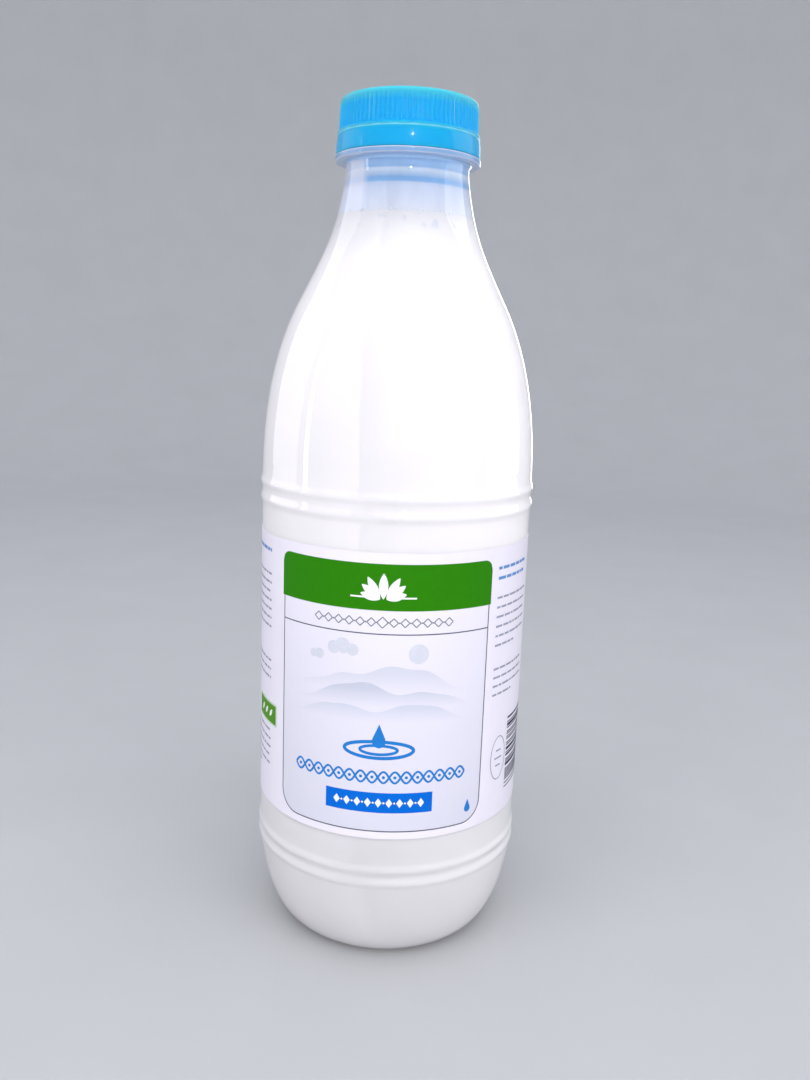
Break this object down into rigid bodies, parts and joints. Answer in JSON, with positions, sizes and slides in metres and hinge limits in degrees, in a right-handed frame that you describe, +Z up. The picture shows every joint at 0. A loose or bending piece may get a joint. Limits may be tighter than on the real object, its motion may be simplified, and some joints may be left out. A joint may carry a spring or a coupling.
{
  "type": "plastic milk bottle",
  "caption": "Clear plastic bottle full of milk, with a round shoulder, a wrap-round printed label and a blue knurled screw cap over its tamper band.",
  "frame": {"origin": "middle of the base, on the surface that the bottle stands on", "axes": "+Z up along the bottle's axis to the cap, -Y out through the front of the label, +X to the right of someone facing the label"},
  "size_m": [0.084, 0.084, 0.2525],
  "materials": {
    "clear_plastic": "gloss",
    "milk": "satin",
    "cap_plastic": "satin",
    "band_plastic": "gloss",
    "label_film": "satin"
  },
  "bodies": {
    "root": {"bottle": "clear_plastic", "milk": "milk", "cap": "cap_plastic", "tamper_band": "band_plastic", "label": "label_film"}
  },
  "joints": []
}
